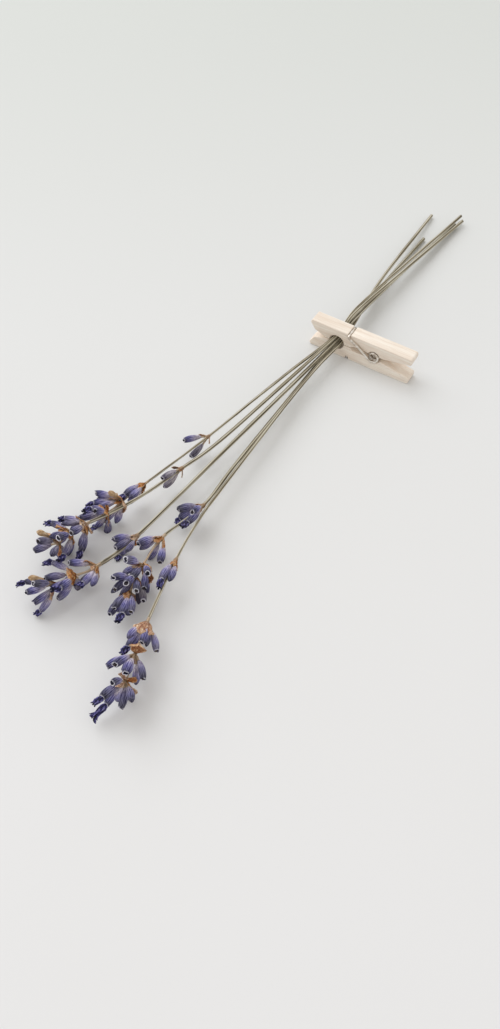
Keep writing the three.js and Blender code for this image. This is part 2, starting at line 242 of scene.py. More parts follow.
# tint: faded at 0.1, fresh from 0.4 and deeper towards 1; withered above 1, and nearly black below 0
def calyxFinish():
    look = calyxLook
    paint = Paint("calyx")
    along, tint, ridge, rim, shade, grain = paint.marks("along", "tint", "ridge", "rim", "shade", "grain")
    mottle = paint.noise(grain, 1.1, 3)
    streak = paint.noise(paint.stretch(grain, (2.6, 2.6, 0.35)), 1.6, 3, 0.6)
    # The rib crests are moved towards the paler colours, a painted highlight
    place = along + (mottle - 0.5) * 0.34 + (tint - 0.6) * 0.3 - ridge * 0.1 + 0.04
    fresh = paint.ramp(place, look["fresh"])
    body = paint.blend(tint.rise(0.4, 0.1), fresh, paint.ramp(place, look["faded"]))
    body = paint.blend(shade.rise(0.6, 1) * 0.2, body, look["bloom"])
    body = paint.blend(shade.rise(0.5, 0.0), body, look["dusk"], "MULTIPLY")
    # Painted light on the ribs: the crests are paler, a painted highlight, and the rest darker, painted
    # shade; the streaks in the same mix are the calyx's own colour
    dark = paint.blend(1.0, body, look["furrowShadeAndStreak"], "MULTIPLY")
    pale = paint.blend(0.5 - along * 0.38, body, look["crest"])
    body = paint.blend((ridge * 0.3 + streak.rise(0.3, 0.7) * 0.6 + 0.08).rise(0, 1), dark, pale)
    withered = paint.ramp(streak * 0.6 + mottle * 0.4, look["withered"])
    body = paint.blend(tint.rise(1, 1.1), body, withered)
    body = paint.blend(tint.rise(0, -0.5), body, look["dark"])
    body = paint.blend(rim.rise(0.05, 0.8) * mottle.rise(0.34, 0.54), body, look["rim"])
    # Painted shade: the throat inside the mouth is darkened
    body = paint.blend(rim.rise(-0.1, -0.9), body, look["throat"])
    down = paint.noise(grain, 16, 2)
    return paint.finish(body, look["roughness"], {
        "Specular IOR Level": 0.2,
        "Sheen Weight": look["sheen"],
        "Sheen Roughness": 0.45,
        "Sheen Tint": look["sheenTint"],
        "Normal": paint.bump(down * 0.6 + streak, 0.4, 0.06),
    })


corollaLook = {
    "creasesAndFoldLight": [(0.38, "#0f0e20"), (0.52, "#242150"), (0.64, "#46427c"), (0.78, "#9591bf")],
    "tip": "#1a1936", "browned": "#4b4038",
}


def corollaFinish():
    look = corollaLook
    paint = Paint("corolla")
    along, tint, ridge, grain = paint.marks("along", "tint", "ridge", "grain")
    crease = paint.noise(paint.stretch(grain, (2.2, 2.2, 0.8)), 2, 4, 0.6, 0.6)
    # The fold crests are painted lighter and the folds between darker, painted highlight and painted shade;
    # the crease noise is the corolla's own colour
    body = paint.ramp(crease * 0.7 + ridge * 0.4, look["creasesAndFoldLight"])
    body = paint.blend(along.rise(0.85, 1) * 0.25, body, look["tip"])
    body = paint.blend(tint.rise(0.3, 0.05) * 0.8, body, look["browned"])
    return paint.finish(body, 0.7, {"Specular IOR Level": 0.3, "Normal": paint.bump(crease, 0.7, 0.12)})


bractLook = {
    "orange": [(0.34, "#8c4f26"), (0.47, "#bf7c3f"), (0.58, "#dca668"), (0.7, "#efd5ab")],
    "tan": [(0.34, "#9a735c"), (0.47, "#c7a189"), (0.6, "#e6cfbb"), (0.72, "#f2e6d9")],
    "dusky": "#5d5048", "vein": "#a06c48", "edge": "#e0bf9c", "foot": "#94805c",
    "glow": (0.5, 0.28, 0.12),  # mm that red, green and blue light goes inside
}


# tint runs from orange at 0.4 to tan at 0.75, and is dusky above 1
def bractFinish():
    look = bractLook
    paint = Paint("bract")
    along, tint, across, edge, grain = paint.marks("along", "tint", "ridge", "rim", "grain")
    blotch = paint.noise(grain, 1.2, 4, 0.65)
    net = paint.add("ShaderNodeTexVoronoi", {"feature": "DISTANCE_TO_EDGE"},
                    {"Vector": paint.stretch(grain, (1, 1, 0.55)), "Scale": 2.4})
    fan = paint.add("ShaderNodeMath", {"operation": "COSINE"},
                    {0: across * (bract["veinFan"][0] - along * bract["veinFan"][1]) * bract["veins"]})
    vein = paint.add("ShaderNodeMath", {"operation": "MAXIMUM"},
                     {0: net.rise(0.14, 0.0) * 0.8, 1: fan.rise(0.55, 1.0)})
    orange = paint.ramp(blotch, look["orange"])
    body = paint.blend(tint.rise(0.4, 0.75), orange, paint.ramp(blotch, look["tan"]))
    body = paint.blend(tint.rise(1.0, 1.3), body, look["dusky"])
    body = paint.blend(vein * 0.85, body, look["vein"], "MULTIPLY")
    body = paint.blend(edge.rise(0.55, 1) * 0.5, body, look["edge"])
    body = paint.blend(along.rise(0.2, 0.0) * 0.6, body, look["foot"])
    return paint.finish(body, 0.6, {
        "Specular IOR Level": 0.35,
        "Subsurface Weight": 0.15,
        "Subsurface Radius": [depth * mm for depth in look["glow"]],
        "Subsurface Scale": 1.0,
        "Normal": paint.bump(vein * -0.4 + blotch, 0.9, 0.3),
    })


stemLook = {
    "skin": [(0.28, "#463d2d"), (0.42, "#756b55"), (0.56, "#9d9580"), (0.72, "#d1cbb9")],
    "tan": "#cbb094", "knot": "#8a6444", "knotPale": "#b99877", "cut": "#d9cfb2",
}


def stemFinish():
    look = stemLook
    paint = Paint("stem_skin")
    ridge, tint, knot, rim, grain = paint.marks("ridge", "tint", "along", "rim", "grain")
    stripe = paint.noise(paint.stretch(grain, (1.9, 1.9, 0.05)), 1.4, 3, 0.6)
    patch = paint.noise(paint.stretch(grain, (0.5, 0.5, 0.1)), 1, 3, 0.55)
    # The corners are painted paler and the faces between them darker, a painted highlight and painted shade;
    # stripes and patches are the stem's own colour
    body = paint.ramp(stripe * 0.8 + patch * 0.25 + ridge * 0.36 - 0.18, look["skin"])
    body = paint.blend(tint.rise(0.3, 1) * 0.65, body, look["tan"])
    knotted = paint.blend(patch.rise(0.3, 0.6), look["knot"], look["knotPale"])
    body = paint.blend(knot * 0.6, body, knotted)
    body = paint.blend(rim.rise(0.2, 0.8), body, look["cut"])
    return paint.finish(body, 0.6, {"Specular IOR Level": 0.4, "Normal": paint.bump(stripe, 0.5, 0.08)})


woodLook = {
    "rings": [(0.25, "#dac8b5"), (0.45, "#e8dacb"), (0.6, "#f3eade"), (0.8, "#f8f3ea")],
    "pore": "#c5a587",
}


def woodFinish():
    look = woodLook
    paint = Paint("birch")
    where = paint.add("ShaderNodeTexCoord", out="Object")
    fibre = paint.noise(paint.stretch(where, (70, 1000, 1000)), 2.2, 4, 0.62, 0.3)
    ring = paint.noise(paint.stretch(where, (22, 420, 420)), 0.9, 3, 0.5, 0.8)
    pore = paint.noise(paint.stretch(where, (260, 3600, 3600)), 1.2, 2, 0.5)
    body = paint.ramp(ring * 0.7 + fibre * 0.45 - 0.08, look["rings"])
    body = paint.blend(pore.rise(0.62, 0.74) * 0.3, body, look["pore"])
    return paint.finish(body, 0.68, {"Specular IOR Level": 0.3,
                                     "Normal": paint.bump(fibre + pore * 0.5, 0.35, 0.08)})


steelLook = {"dull": [(0.35, "#c0b4a6"), (0.5, "#dfd8cf"), (0.7, "#f0ece6")], "roughness": 0.28}


def steelFinish():
    paint = Paint("spring_wire")
    where = paint.add("ShaderNodeTexCoord", out="Object")
    dull = paint.noise(paint.stretch(where, (1000, 1000, 1000)), 0.9, 3)
    return paint.finish(paint.ramp(dull, steelLook["dull"]), dull * 0.25 + steelLook["roughness"],
                        {"Metallic": 1.0})


# Rows and columns of points, sewn into tubes and leaves that each close on themselves. A look is the name of
# one of the finishes.
class Sheaf:
    def __init__(self, name, finishes):
        self.name = name
        self.finishes = finishes
        self.points = []
        self.marks = {key: [] for key in ("along", "tint", "ridge", "rim", "shade")}
        self.grain = []
        self.faces = []
        self.looks = []

    def put(self, points, grain, marks):
        start = sum(len(before) for before in self.points)
        self.points.append(points)
        self.grain.append(grain)
        for key, kept in self.marks.items():
            kept.append(np.broadcast_to(marks.get(key, 0.0), len(points)))
        return start

    # A tube, row after row along it, closed at each end by a middle point
    def tube(self, points, grain, look, marks):
        rows, around = points.shape[:2]
        spread = {key: np.broadcast_to(value, (rows, around)).ravel() for key, value in marks.items()}
        start = self.put(points.reshape(-1, 3), grain.reshape(-1, 3), spread)
        index = np.arange(rows * around).reshape(rows, around) + start
        after = np.roll(index, -1, 1)
        quads = np.stack([index[:-1], after[:-1], after[1:], index[1:]], -1)
        self.faces += quads.reshape(-1, 4).tolist()
        ends = {key: value.reshape(rows, around)[[0, -1]].mean(1) for key, value in spread.items()}
        middles = self.put(points[[0, -1]].mean(1), grain[[0, -1]].mean(1), ends)
        self.faces += [[middles, b, a] for a, b in zip(index[0].tolist(), after[0].tolist())]
        self.faces += [[middles + 1, a, b] for a, b in zip(index[-1].tolist(), after[-1].tolist())]
        self.looks += [list(self.finishes).index(look)] * ((rows + 1) * around)

    # A leaf: the same rows on its upper and its lower face, sewn together round the edge
    def leaf(self, upper, lower, grain, look, marks):
        def sewn(above, below):
            return np.concatenate([above, below[:, ::-1]], 1)

        spread = {key: np.broadcast_to(value, upper.shape[:2]) for key, value in marks.items()}
        self.tube(sewn(upper, lower), sewn(grain, grain), look,
                  {key: sewn(value, value) for key, value in spread.items()})

    def make(self):
        points = np.concatenate(self.points) * mm
        mesh = bpy.data.meshes.new(self.name)
        mesh.from_pydata(points.tolist(), [], self.faces)
        for finish in self.finishes.values():
            mesh.materials.append(finish)
        mesh.polygons.foreach_set("material_index", self.looks)
        for key, kept in self.marks.items():
            mark = mesh.attributes.new(key, "FLOAT", "POINT")
            mark.data.foreach_set("value", np.concatenate(kept).astype(np.float32))
        grain = mesh.attributes.new("grain", "FLOAT_VECTOR", "POINT")
        grain.data.foreach_set("vector", np.concatenate(self.grain).astype(np.float32).ravel())
        work = bmesh.new()
        work.from_mesh(mesh)
        bmesh.ops.recalc_face_normals(work, faces=work.faces)
        work.to_mesh(mesh)
        work.free()
        mesh.shade_smooth()
        return placed(self.name, mesh)


# A number between -1 and 1 that belongs to a seed
def draw(seed):
    value = sin(seed * 12.9898) * 43758.5453
    return 2 * (value - floor(value)) - 1


# An angle brought to between half a turn back and half a turn on
def wrapped(angle):
    return (angle + pi) % (2 * pi) - pi


# Points of a smooth curve through a list of points, at places counted in steps of the list
def through(points, at):
    knots = np.asarray(points, float)
    knots = np.vstack([2 * knots[0] - knots[1], knots, 2 * knots[-1] - knots[-2]])
    at = np.clip(np.asarray(at, float), 0, len(points) - 1)
    step = np.minimum(at.astype(int), len(points) - 2)
    t = (at - step)[..., None]
    a, b, c, d = knots[step], knots[step + 1], knots[step + 2], knots[step + 3]
    first = (c - a) / 2
    second = (d - b) / 2
    return b + t * (first + t * (3 * (c - b) - 2 * first - second + t * (2 * (b - c) + first + second)))


# Values kept between 0 and 1
def held(values):
    return np.clip(values, 0, 1)


def unit(vectors):
    return vectors / np.linalg.norm(vectors, axis=-1, keepdims=True)


# How a stalk lies at a place on its route: its middle, then along it, up and sideways from it
def lieOf(route, at):
    nudge = 0.001
    at = np.asarray(at, float)
    along = unit(through(route, at + nudge) - through(route, at - nudge))
    up = unit(np.array([0, 0, 1.0]) - along * along[..., 2:])
    return through(route, at), along, up, np.cross(along, up)


# route: mm, from the cut end to the tip. at: the point of it, counted from 0, where a whorl sits
# butt, neck: the stem's radius at the cut end, and from the low whorl on
# calyces: degrees round the stalk, 0 up and more towards -X, then degrees of lean away from it
# forms: o is open, b a bud, t withered, c and l have a short or a long corolla in the mouth
# bract: the turn of the first of two bracts. thrown: its lean where it is bent back. broad and slim
# scale both, paper is their tint. papers: turn, lean, size and tint of bracts besides
# fresh: the range of the calyces' tints. tints: single ones, by their place in the list
stalks = [{
    "route": [[-1.7, 83.9, 2.4], [-7, 42, 4.3], [-9.9, 14, 5.8], [-9.75, 0, 5.6], [-14.1, -22.4, 6],
              [-17.65, -40.1, 6], [-21, -57.4, 6], [-26.5, -80.7, 6], [-28.2, -88.8, 6],
              [-29.4, -94, 6], [-30.6, -97.2, 6]],
    "butt": 0.5, "neck": 0.36,
    "low": {"at": 6, "bract": 100, "thrown": 60, "broad": 1.15, "slim": 0.35, "paper": 0.95,
            "calyces": [[90, 34], [-174, 18]], "forms": "oo", "tints": {0: 0.36, 1: 0.12}},
    "spike": [
        {"at": 7, "bract": -10, "slim": 0.6, "calyces": [[20, 8], [-46, 16], [180, 22]], "forms": "cbo"},
        {"at": 8, "bract": 20, "forms": "tocooob",
         "papers": [[80, 44, 1.1, 0.9], [-60, 70, 0.9, 0.6], [30, 20, 0.7, 0.2]],
         "calyces": [[9, 65], [65, 56], [82, 38], [76, 22], [81, 50], [165, 34], [-171, 52]]},
        {"at": 9, "bract": -10, "broad": 1.2, "forms": "occoco", "papers": [[10, 110, 0.6, 0.2]],
         "calyces": [[-13, 58], [-1, 55], [82, 25], [114, 38], [160, 65], [-172, 74]]},
    ],
}, {
    "route": [[-0.4, 82.6, 1.5], [-5.55, 42, 4.2], [-8.5, 12, 7], [-8.85, 0, 6.6], [-12.3, -24, 6.2],
              [-17, -57.1, 6.5], [-20.7, -71.4, 6.5], [-24, -84, 7], [-27.6, -93.8, 7.5],
              [-31.2, -100.5, 7.5], [-32.8, -104.8, 7.3], [-33.6, -108.8, 7], [-33.4, -111.5, 6.5]],
    "butt": 0.58, "neck": 0.46,
    "low": {"at": 6, "bract": 90, "slim": 0.4, "paper": 1.2, "calyces": [[-9, 16], [180, 22]],
            "forms": "oo", "tints": {0: 0.05, 1: 0.1}},
    "spike": [
        {"at": 9, "bract": -60, "forms": "cbocbo", "papers": [[-85, 68, 0.9, 0.1], [-100, 92, 0.8, 0.8]],
         "calyces": [[105, 58], [20, 30], [-38, 48], [-110, 52], [140, 58], [-162, 58]]},
        {"at": 10, "bract": 10, "forms": "cbcooo", "papers": [[45, 62, 1.15, 0.35], [-30, 58, 0.9, 0.1]],
         "calyces": [[103, 78], [-1, 38], [-83, 42], [-25, 56], [145, 62], [-176, 64]]},
        {"at": 11, "bract": 50, "forms": "oobtc",
         "calyces": [[11, 58], [109, 46], [-38, 50], [36, 74], [169, 82]]},
    ],
}, {
    "route": [[-2.1, 80, 0.8], [-6.2, 42, 2.8], [-8.2, 10, 5.5], [-8.45, 0, 5.1], [-11, -26, 5.2],
              [-14.6, -60.7, 5.5], [-18.4, -95.7, 5.5], [-21.4, -108.7, 6], [-24.4, -113.6, 5.8],
              [-27.5, -118.2, 5.4], [-29.6, -121, 5]],
    "butt": 0.62, "neck": 0.53,
    "low": {"at": 6, "bract": 0, "calyces": [[37, 32], [24, 14], [-45, 32], [159, 46]], "forms": "oobc"},
    "spike": [
        {"at": 7, "bract": -100, "calyces": [[62, 40], [-70, 50], [-57, 34], [176, 30]], "forms": "obcb"},
        {"at": 8, "bract": -30, "forms": "cocboob", "papers": [[5, 66, 0.95, 0.2]], "tints": {3: -0.35},
         "calyces": [[88, 56], [38, 18], [-44, 53], [-63, 84], [-125, 30], [-64, 10], [150, 62]]},
        {"at": 9, "bract": 60, "forms": "otcooc",
         "calyces": [[-13, 56], [30, 40], [66, 26], [-19, 24], [-88, 24], [-130, 40]]},
    ],
}, {
    "route": [[-8.5, 66.4, 0.8], [-9.5, 30, 1.8], [-8.6, 0, 3.5], [-9.3, -16, 3.8], [-9.35, -36, 4.4],
              [-9.1, -62, 5.4], [-8.9, -78.2, 5.5], [-12.4, -92.3, 5.5], [-11.5, -102.2, 5.8],
              [-10.9, -106, 5.7], [-9.8, -109.9, 5.4], [-9, -112.8, 5]],
    "butt": 0.55, "neck": 0.45, "fresh": (0.72, 1.0),
    "low": {"at": 6, "bract": 90, "thrown": 54, "slim": 0.45, "paper": 0.95, "forms": "obocc",
            "calyces": [[82, 38], [116, 34], [-16, 40], [124, 30], [-40, 8]]},
    "spike": [
        {"at": 7, "bract": 70, "papers": [[15, 26, 0.85, 0.2]],
         "calyces": [[50, 26], [115, 26], [170, 48], [-93, 36]], "forms": "oboo"},
        {"at": 8, "bract": 60, "broad": 1.25, "forms": "ooboobo",
         "papers": [[62, 72, 1.1, 0.1], [-50, 76, 1.1, 0.25]],
         "calyces": [[22, 64], [-42, 60], [33, 32], [-75, 34], [-10, 30], [150, 60], [-150, 54]]},
        {"at": 9, "bract": -70, "forms": "ooooboob", "tints": {6: -0.25, 7: -0.4},
         "calyces": [[35, 58], [-1, 50], [-37, 44], [45, 34], [106, 42], [114, 12], [-82, 40], [-102, 28]]},
        {"at": 10, "bract": 20, "forms": "ocoobo",
         "calyces": [[32, 26], [-19, 22], [-53, 30], [96, 22], [151, 54], [180, 56]]},
    ],
}, {
    "route": [[-11.8, 80.6, 0.9], [-10.4, 36, 3.6], [-8.1, 12, 4], [-7.15, 0, 4.55], [-8.3, -15, 4.75],
              [-8.4, -38, 5.3], [-7.6, -71.5, 5.7], [-7, -82.5, 6.2], [-4.7, -96.9, 7],
              [-0.3, -115.3, 7.5], [2.1, -123.5, 7.2], [4, -130, 6.2], [4.2, -133.5, 5.6]],
    "butt": 0.55, "neck": 0.38, "fresh": (0.45, 1.0),
    "low": {"at": 8, "bract": 70, "calyces": [[32, 10], [-52, 12]], "forms": "cb"},
    "spike": [
        {"at": 9, "bract": 0, "broad": 1.25, "paper": 0.62, "forms": "ocbboo",
         "calyces": [[-101, 38], [125, 24], [-65, 22], [35, 28], [156, 58], [-33, 24]]},
        {"at": 10, "bract": -25, "thrown": 110, "broad": 1.1, "forms": "oooobo",
         "calyces": [[92, 50], [-8, 35], [-73, 38], [28, 46], [-153, 32], [155, 66]]},
        {"at": 11, "bract": 40, "forms": "colobob",
         "papers": [[25, 118, 0.7, 0.9], [-55, 116, 0.8, 0.2]],
         "calyces": [[42, 36], [6, 72], [122, 26], [-48, 22], [-49, 52], [165, 60], [-176, 64]]},
    ],
}]

calyx = {
    "pedicel": 2.0, "body": 5.0, "spread": 0.5,  # lengths, and how much they differ
    "arch": 24,  # degrees that it curves back towards the stalk
    "root": 0.15,  # how far out on the stalk it starts
    "pedicelRadius": 0.24, "waist": 0.25,
    "fresh": (0.22, 0.95),  # the tints of a stalk that gives none
    "plump": (0.88, 1.07), "squash": 0.09, "dents": (0.045, 0.03),
    "tooth": 0.1, "flap": 0.3, "fold": 0.3,  # the mouth's five teeth and one flap, and a bud's folds
    "ribs": 13, "perRib": 4, "ribDepth": 0.04, "rows": 15,
    # Shares of the body's length, and each form's radius there
    "shares": (0, 0.05, 0.14, 0.28, 0.45, 0.6, 0.75, 0.88, 1),
    "open": (0.24, 0.42, 0.6, 0.79, 0.95, 1.01, 0.99, 0.9, 0.77),
    "bud": (0.24, 0.4, 0.57, 0.76, 0.92, 0.96, 0.86, 0.64, 0.2),
    "withered": (0.2, 0.3, 0.36, 0.42, 0.52, 0.7, 0.84, 0.7, 0.2),
    # Lip and throat: distance past the mouth, radius, and how pale (above 0) or darkened with painted shade
    # (below 0)
    "lip": [(0.05, 0.76, 0.4), (0.1, 0.71, 1), (0.08, 0.62, 1), (0, 0.54, 0.4), (-0.3, 0.48, -0.7),
            (-1.2, 0.38, -1)],
}

# The dried stub that many empty calyces still hold
nub = {"radius": 0.42, "reach": 0.45, "depth": 0.9, "share": 0.8, "wrinkle": 0.14, "offset": 0.12}

# The two forms, c and l, and what they share
corolla = {
    "c": {"reach": 2.4, "vary": 0.18, "flare": 0.42, "notch": 0.5, "tip": 0.2, "outward": 0},
    "l": {"reach": 4.2, "vary": 0, "flare": 0.95, "notch": 0.8, "tip": 0.75, "outward": 0.3},
    "start": 0.7,  # how deep in the mouth it starts
    "throat": 0.5, "swell": 0.42, "limb": 0.34,
    "flat": (0.72, 0.92), "sway": 0.25,
    "around": 48, "rows": 20,
}

bract = {
    "length": 3.8, "width": 3.6, "cup": 0.6, "root": 0.3, "thickness": 0.09,
    "over": 11,  # degrees that it leans further out than the calyx it covers
    "alone": 48,  # its lean where no calyx is near
    "near": 60,  # degrees round the stalk that count as near
    "scraps": 0.5,  # share of the calyces with a small one of their own
    "scrapSize": (0.4, 0.75), "scrapSlim": (0.45, 0.95), "scrapShift": 30, "paperSlim": 0.85,
    "spike": 1, "low": 0.72,  # size on a head and on a low whorl
    "curl": (-22, 20), "ragged": (0.1, 0.07), "ripples": (0.22, 0.07, 0.1),
    "veins": 19, "veinFan": (1.3, 0.8), "veinHeight": 0.03,
    "rows": 17, "columns": 15,
}


def turnedRound(lie, turn):
    centre, along, up, side = lie
    out = up * cos(turn) + side * sin(turn)
    return centre, along, out, np.cross(along, out)


# Bends what stands along +Y so that it leaves the stalk at its seat and curves back towards it. A seat is
# how the stalk lies there, the turn round it and the lean
def bentOut(points, seat, length):
    lie, turn, lean = seat
    centre, along, out, across = turnedRound(lie, turn)
    first = lean + radians(calyx["arch"]) / 2
    curl = radians(calyx["arch"]) / length
    x, y, z = np.split(points, 3, -1)
    angle = first - curl * y
    forward = (sin(first) - sin(angle)) / curl
    outward = calyx["root"] + (cos(angle) - cos(first)) / curl
    return centre + along * (forward - z * sin(angle)) + out * (outward + z * cos(angle)) + across * x


def roundOf(count, shift=0.0):
    return np.arange(count) * 2 * pi / count + shift


# A tube about the Y axis from the height and radius at each row and place round it
def turned(height, radius, angle):
    height = np.broadcast_to(height, radius.shape)
    return np.stack([radius * cos(angle), height, radius * sin(angle)], -1)


# Colour grain that runs lengthwise and isn't the same on any two pieces of a stalk
def grainOf(points, chance):
    return points[..., [0, 2, 1]] + chance.uniform(-50, 50, 3)


def addCalyx(sheaf, seat, length, form, tint, chance):
    angle = roundOf(calyx["ribs"] * calyx["perRib"], chance.uniform(0, 6))
    outline = list(zip(calyx["shares"], calyx[{"b": "bud", "t": "withered"}.get(form, "open")]))
    profile = through(outline, np.linspace(0, len(outline) - 1, calyx["rows"]))
    share, radius = profile[:, :1], profile[:, 1:]
    crest = (0.5 + 0.5 * cos(calyx["ribs"] * angle)) ** 1.4
    fade = held(sin(pi * held(share * 0.92 + 0.04)) * 2.2)
    plump = chance.uniform(*calyx["plump"])
    waves = chance.uniform(0, 6, 4)
    wide, narrow = calyx["dents"]
    dent = wide * sin(2 * angle + waves[0] + 3 * share) + narrow * sin(3 * angle + waves[1] - 4 * share)
    body = radius * plump * (1 + dent * fade) + calyx["ribDepth"] * (crest - 0.45) * fade
    tooth = 0.5 + 0.5 * cos(5 * angle + waves[2])
    rise = length - (1 - share) * calyx["body"]
    flap = np.exp(-(wrapped(angle + waves[3] - pi) / 0.5) ** 2)
    edge = calyx["tooth"] * tooth + calyx["flap"] * flap - 0.06 * sin(2 * angle + waves[1])
    # ridge marks the rib crests for the painted highlight and painted shade in the calyx's finish
    ridge = crest * fade
    along = share * np.ones_like(angle)
    rim = np.zeros_like(body)
    if form in "bt":
        body = body * (1 - calyx["fold"] * (1 - tooth) * held((share - 0.72) / 0.28))
    else:
        rise = rise + edge * held((share - 0.8) / 0.2)
        past, lipRadius, pale = [column[:, None] for column in np.array(calyx["lip"]).T]
        lipRadius = lipRadius * plump * (1 + dent[-1]) * (1 + 0.12 * sin(2 * angle + waves[3]))
        body = np.vstack([body, lipRadius])
        rise = np.vstack([rise, length + past + edge * held(1 + past) ** 2])
        ridge = np.vstack([ridge, np.zeros_like(lipRadius)])
        along = np.vstack([along, np.ones_like(lipRadius)])
        rim = np.vstack([rim, pale * np.ones_like(angle)])
        rim[calyx["rows"] - 1] = 0.35
    points = turned(rise, body, angle)
    squash = 1 + chance.uniform(-calyx["squash"], calyx["squash"])
    points = points * (squash, 1, 2 - squash)
    sheaf.tube(bentOut(points, seat, length), grainOf(points, chance), "calyx",
               {"along": along, "tint": tint, "ridge": ridge, "rim": rim, "shade": chance.uniform()})
    addPedicel(sheaf, seat, length, chance)


def addPedicel(sheaf, seat, length, chance):
    reach = length - calyx["body"] + 0.25
    share = np.linspace(0, 1, 5)[:, None]
    angle = roundOf(10)
    waist = 1 + calyx["waist"] - calyx["waist"] * sin(pi * share)
    radius = calyx["pedicelRadius"] * waist * np.ones_like(angle)
    points = turned(share * reach, radius, angle)
    sheaf.tube(bentOut(points, seat, length), grainOf(points, chance), "stem", {"tint": 0.8})


def addNub(sheaf, seat, length, chance):
    angle = roundOf(14)
    share = np.linspace(0, 1, 9)[:, None]
    knob = np.sqrt(held(1 - ((share - 0.62) / 0.4) ** 2))
    wrinkle = 1 + nub["wrinkle"] * sin(4 * angle + chance.uniform(0, 6) + 4 * share)
    radius = nub["radius"] * chance.uniform(0.75, 1.1) * (0.45 + 0.55 * knob) * wrinkle
    reach = nub["reach"] * chance.uniform(0.3, 1.2)
    points = turned(length - nub["depth"] + share * (nub["depth"] + reach), radius, angle)
    aside = chance.uniform(-nub["offset"], nub["offset"], 2)
    points = points + [aside[0], 0, aside[1]]
    sheaf.tube(bentOut(points, seat, length), grainOf(points, chance), "corolla",
               {"along": 0.9, "tint": chance.uniform(0.05, 0.4), "ridge": 0})


# The withered corolla in a calyx's mouth: a crumpled tube with shrunken lobes
def addCorolla(sheaf, seat, length, form, chance):
    kind = corolla[form]
    reach = kind["reach"] * (1 + kind["vary"] * chance.uniform(-1, 1))
    angle = roundOf(corolla["around"])
    share = np.linspace(0, 1, corolla["rows"])[:, None]
    waves = chance.uniform(0, 6, 6)
    outside = held((share * (reach + corolla["start"]) - corolla["start"]) / reach)
    limb = held((outside - 1) / corolla["limb"] + 1)
    lobes = held(1.7 * np.abs(cos(2.5 * angle + waves[0]))) ** 0.8
    swell = corolla["swell"] * sin(pi * held(outside * 1.2)) ** 0.7
    flare = kind["flare"] * limb ** 1.3 * lobes * (0.8 + 0.2 * sin(2 * angle + waves[1]))
    radius = (corolla["throat"] + swell + flare) * (1 - 0.3 * limb * (1 - lobes))
    folds = 0.12 * sin(3 * angle + waves[2] + 6 * share) + 0.1 * sin(7 * angle + waves[3] - 9 * share)
    folds = folds + 0.08 * sin(11 * angle + waves[4] + 13 * share) + 0.06 * sin(4 * angle - 23 * share)
    radius = radius * (1 + folds * held(outside * 4 + 0.15))
    height = length - corolla["start"] + share * (reach + corolla["start"])
    height = height - kind["tip"] * limb * radius * sin(angle) - kind["notch"] * limb ** 2 * (1 - lobes)
    height = height + 0.12 * sin(3 * angle + waves[5]) * limb
    height = np.vstack([height, height[-1] - 0.15, height[-1] - 0.6])
    radius = np.vstack([radius, radius[-1] * np.array([0.7, 0.35])[:, None]])
    points = turned(height, radius, angle) * (1, 1, chance.uniform(*corolla["flat"]))
    bend = held((points[..., 1:2] - length) / reach) ** 1.5 * reach
    sway = chance.uniform(-corolla["sway"], corolla["sway"], 2)
    outward = sway[1] * (1 - kind["outward"]) + kind["outward"]
    points = points + bend * np.array([sway[0], -0.05, outward])
    along = np.vstack([outside, [[1.0]], [[1.0]]]) * np.ones_like(angle)
    # The folds' crests are marked for a painted highlight, their hollows for painted shade
    ridge = np.vstack([held(0.45 + folds * 2.4), np.zeros((2, len(angle)))])
    sheaf.tube(bentOut(points, seat, length), grainOf(points, chance), "corolla",
               {"along": along, "tint": chance.uniform(0.15, 1), "ridge": ridge})


# A papery bract, cupped round its whorl, with a ragged edge and a drawn-out tip
def addBract(sheaf, lie, turn, size, lean, slim, tint, chance):
    centre, along, out, across = turnedRound(lie, turn)
    share = np.linspace(0, 1, bract["rows"])[:, None]
    over = np.linspace(-1, 1, bract["columns"])[None, :]
    waves = chance.uniform(0, 6, 6)
    outline = 0.14 + 0.9 * sin(pi * (0.04 + 0.62 * share)) ** 1.2
    outline = outline * (1 - 0.93 * held((share - 0.76) / 0.24) ** 1.4)
    coarse, fine = bract["ragged"]
    ragged = 1 + coarse * sin(15 * share + waves[0]) * np.abs(over) ** 3
    ragged = ragged + fine * sin(31 * share + waves[1] * over) * share
    width = bract["width"] * size * slim * outline * ragged / 2
    curl = radians(chance.uniform(*bract["curl"]))
    tilt = lean + curl * (share[:, 0] - 0.5)
    reach = bract["length"] * size
    step = reach / (bract["rows"] - 1)
    forward = (np.cumsum(cos(tilt)) - cos(tilt[0]))[:, None] * step - bract["root"]
    outward = (np.cumsum(sin(tilt)) - sin(tilt[0]))[:, None] * step + 0.25
    cup = -bract["cup"] * size * slim * over ** 2 * (0.5 + share) / 1.5
    edgewise, crosswise, lengthwise = bract["ripples"]
    ripple = edgewise * size * sin(8 * share + waves[2] + 2 * over) * np.abs(over) * share
    ripple = ripple + crosswise * sin(13 * over + waves[3] + 3 * share)
    ripple = ripple + lengthwise * sin(11 * share + waves[4] + 4 * over)
    lift = cup + ripple * slim
    start, narrowing = bract["veinFan"]
    vein = bract["veinHeight"] * cos(over * bract["veins"] * (start - narrowing * share)) ** 4
    tilt = tilt[:, None]

    def face(offset):
        raised = lift + offset
        return (centre + along * (forward - raised * sin(tilt))[..., None]
                + out * (outward + raised * cos(tilt))[..., None]
                + across * (over * width)[..., None])

    thin = bract["thickness"] / 2
    flat = np.stack(np.broadcast_arrays(over * width, share * reach, 0.0), -1)
    edge = np.maximum(np.abs(over) * np.ones_like(share), share * np.ones_like(over)) ** 2
    sheaf.leaf(face(thin + vein), face(-thin), grainOf(flat, chance), "bract",
               {"along": share, "tint": tint, "ridge": over, "rim": edge})


